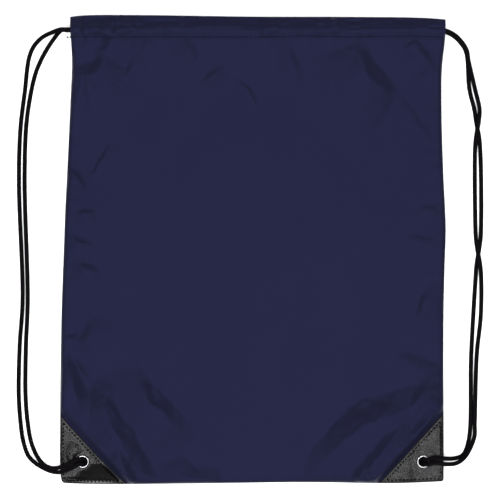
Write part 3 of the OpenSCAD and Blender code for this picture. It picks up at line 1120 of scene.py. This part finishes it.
def patch_stitches(side, place):
    """Stitches along the three edges of a patch."""
    outward = 1 if place == "front" else -1
    p0, q0, k0 = STITCH_INSET / PATCH_W, STITCH_INSET / PATCH_H, STITCH_INSET / PATCH_DEPTH
    corners = np.array([(p0, q0), (1 - k0 - q0, q0), (p0, 1 - k0 - p0), (p0, q0)])
    found = []
    for a, b in zip(corners[:-1], corners[1:]):
        p, q = mix(a[:, None], b[:, None], np.linspace(0, 1, 40))
        line = patch_points(side, place, p, q)
        found += stitch_row(line, PATCH_STITCH_PITCH, outward, PATCH_STITCH_SHARE, PATCH_THREAD_R)
    return found


def make_thread(name, node, side, parts, material):
    points, faces = joined(parts)
    stand_in(make_piece(name, points, faces, material), node, side)


def channel_stitches(side, surface, cord_z, outward):
    """Stitches along one half of a channel's seam."""
    x = np.linspace(0.75, CHANNEL_STITCH_END, 120) * SIDES[side]
    x = x[np.argsort(x)]
    y = seam_y(x) + CHANNEL_STITCH_Y
    f = CHANNEL_STITCH_Y / (TOP_EDGE(x) - seam_y(x))
    z = outer_channel_z(surface, cord_z, outward, x, y, f)
    line = np.stack([x, y, z], axis=1)
    return stitch_row(line, CHANNEL_STITCH_PITCH, outward, CHANNEL_STITCH_SHARE, CHANNEL_THREAD_R)


for side in SIDES:
    for place, surface, cord_z, outward in CHANNELS:
        node = f"{side}_{place}_patch_thread"
        make_thread(f"{side}_{place}_patch_stitches", node, side, patch_stitches(side, place), PATCH_THREAD)
        parts = channel_stitches(side, surface, cord_z, outward)
        make_thread(f"{place}_channel_stitches_{side}", f"{place}_channel_thread", side, parts, CLOTH_THREAD)

# ---- seams inside the bag ----

SEAM_ALLOWANCE = 9.0
SEAM_STEP = 2.5
SEAM_IN = 0.8
SIDE_SEAM_TOP = 177.0
SIDE_SEAM_LOW = -118.0
BOTTOM_SEAM_END = 84.0


def seam_strip(name, node, x, y, inward, side, bent):
    """A folded strip of cloth, sewn in along an edge: rows along the seam, columns across it."""
    across = np.linspace(0, 1, 8)
    rows = len(x)
    edge = np.stack([x, y, np.full(rows, SEAM_Z)], axis=1)
    along = np.arange(rows)[:, None] * SEAM_STEP
    outer = edge[:, None] + (across * SEAM_ALLOWANCE)[None, :, None] * inward
    wave = 0.5 * value_noise(along / 9, across * 2, 51)
    outer[..., 2] += wave * across + 0.35
    normals = grid_normals(outer)
    turned = normals[..., 2].mean() < 0
    if turned:
        normals = -normals
    piece = thick_sheet(
        name, outer.reshape(-1, 3), normals.reshape(-1, 3), grid_faces(rows, 8, flip=turned), 2 * CLOTH_T,
        CLOTH, outer[..., :2].reshape(-1, 2),
    )
    stand_in(piece, node, side, bent)


for side, sign in SIDES.items():
    y = np.arange(SIDE_SEAM_LOW, SIDE_SEAM_TOP, SEAM_STEP)
    x = side_x(sign, y) - sign * SEAM_IN
    seam_strip(f"{side}_side_seam_strip", f"{side}_side_seam", x, y, np.array([-sign, 0, 0]), side, False)
    x = np.arange(0, BOTTOM_SEAM_END, SEAM_STEP) * sign
    y = BOTTOM_EDGE(x) + SEAM_IN
    seam_strip(f"bottom_seam_strip_{side}", "bottom_seam", x, y, np.array([0, 1, 0]), side, True)

# ---- eyelets and their washers ----

# Radius and height of the points round each ring's section, anticlockwise.
EYELET_PROFILE = [
    (HOLE_R + 0.5, 8.7), (HOLE_R + 0.55, 11.8), (HOLE_R + 0.9, 11.9), (FLANGE_R - 0.1, 11.8),
    (FLANGE_R, 11.85), (HOLE_R + 1.3, 12.1), (HOLE_R + 1.1, 12.4), (HOLE_R + 0.9, 12.62),
    (HOLE_R + 0.7, 12.7), (HOLE_R + 0.5, 12.66), (HOLE_R + 0.25, 12.5), (HOLE_R + 0.08, 12.3),
    (HOLE_R, 12.0), (HOLE_R, 8.7),
]
WASHER_PROFILE = [
    (HOLE_R + 0.75, 8.05), (HOLE_R + 1.2, 8.0), (FLANGE_R - 0.3, 8.15), (FLANGE_R, 8.4),
    (FLANGE_R, 8.58), (HOLE_R + 0.75, 8.58),
]

for side in SIDES:
    for name, node, profile in (
        ("eyelet_ring", f"{side}_eyelet", EYELET_PROFILE),
        ("washer_ring", f"{side}_eyelet_washer", WASHER_PROFILE),
    ):
        points, faces = revolved(profile, EYELET_CENTRES[side])
        piece = make_piece(f"{side}_{name}", points, faces, METAL)
        stand_in(piece, node, side, bent=False)

# ---- knots ----

KNOT_REACH = 2.2
KNOT_MIDDLE = 4.05
KNOT_RISE = 1.95
KNOT_STEP = 0.6
KNOT_SIDES = 18

# A cord's end above the knot: distances from the hole's middle, and heights. Then its tail: distances
# out from the knot along its own line, and heights.
STUB = [(2.1, 4.5), (2.1, 6.5), (2.05, 8.6)]
TAIL = [(1, 3.4), (6, 2.9), (10, 2.15), (17, 2.05), (24, 2.05)]
TAIL_FOOT = 3.2
TAIL_ANGLE = 18.0


def knot_loop():
    """The cord's own turns: a tight three-lobed knot."""
    t = np.linspace(0.1, 2 * math.pi + 0.3, 220)
    x = KNOT_REACH * (np.sin(t) + 1.95 * np.sin(2 * t))
    y = KNOT_REACH * (np.cos(t) - 1.95 * np.cos(2 * t))
    return np.stack([x, y, KNOT_MIDDLE - KNOT_RISE * np.sin(3 * t)], axis=1)


def make_knot(side):
    """The knot below an eyelet: its turns, the cord's two ends that come down to it, and two tails."""
    sign = SIDES[side]
    centre = np.array([*EYELET_CENTRES[side], 0])
    paths = [knot_loop()]
    for way in (-1, 1):
        stub = [(0, way * reach, z) for reach, z in STUB]
        turn = math.radians(TAIL_ANGLE)
        out = np.array([-sign * math.cos(turn), way * math.sin(turn), 0])
        foot = np.array([0, way * TAIL_FOOT, 0])
        tail = [foot + out * reach + np.array([0, 0, z]) for reach, z in TAIL]
        paths += [smooth_curve(stub, KNOT_STEP), smooth_curve(tail, KNOT_STEP)]
    piece = cord_piece(f"{side}_knot", [centre + path for path in paths], KNOT_SIDES)
    stand_in(piece, f"{side}_cord_knot", side, bent=False)


for side in SIDES:
    make_knot(side)

# ---- cords' runs inside the channels ----

RUN_STEP = 1.2
RUN_SIDES = 16
TURN_X = 157.0
TURN_R = 4.3


def run_point(name, x, outward):
    """A point of a cord's run at x, in the front (1) or back (-1) channel."""
    cord_z = FRONT_CORD_Z if outward > 0 else BACK_CORD_Z
    return (x, along_run(RUN_Y[name], name, x), cord_z - outward * along_run(RUN_DIP[name], name, x))


def run_paths(name, side):
    """A cord's path through one half of the channels: two straight runs, or one that turns back."""
    sign = SIDES[side]
    if name == side:
        ends = [[run_point(name, x, outward) for x in (0, sign * RUN_END_X)] for outward in (1, -1)]
        return [smooth_curve(pair, RUN_STEP) for pair in ends]
    places = (0, sign * 70, sign * 120)
    low = [run_point(name, x, -1) for x in places]
    high = [run_point(name, x, 1) for x in places]
    _, y, top = run_point(name, sign * TURN_X, 1)
    _, _, foot = run_point(name, sign * TURN_X, -1)
    turn = []
    for degrees in np.linspace(-90, 90, 9):
        a = math.radians(degrees)
        turn.append((sign * (TURN_X + TURN_R * math.cos(a)), y, mix(foot, top, 0.5 + 0.5 * math.sin(a))))
    return [smooth_curve(low + turn + high[::-1], RUN_STEP)]


for name in SIDES:
    for side in SIDES:
        piece = cord_piece(f"{name}_cord_in_channel_{side}", run_paths(name, side), RUN_SIDES)
        stand_in(piece, f"{name}_cord_run", side)
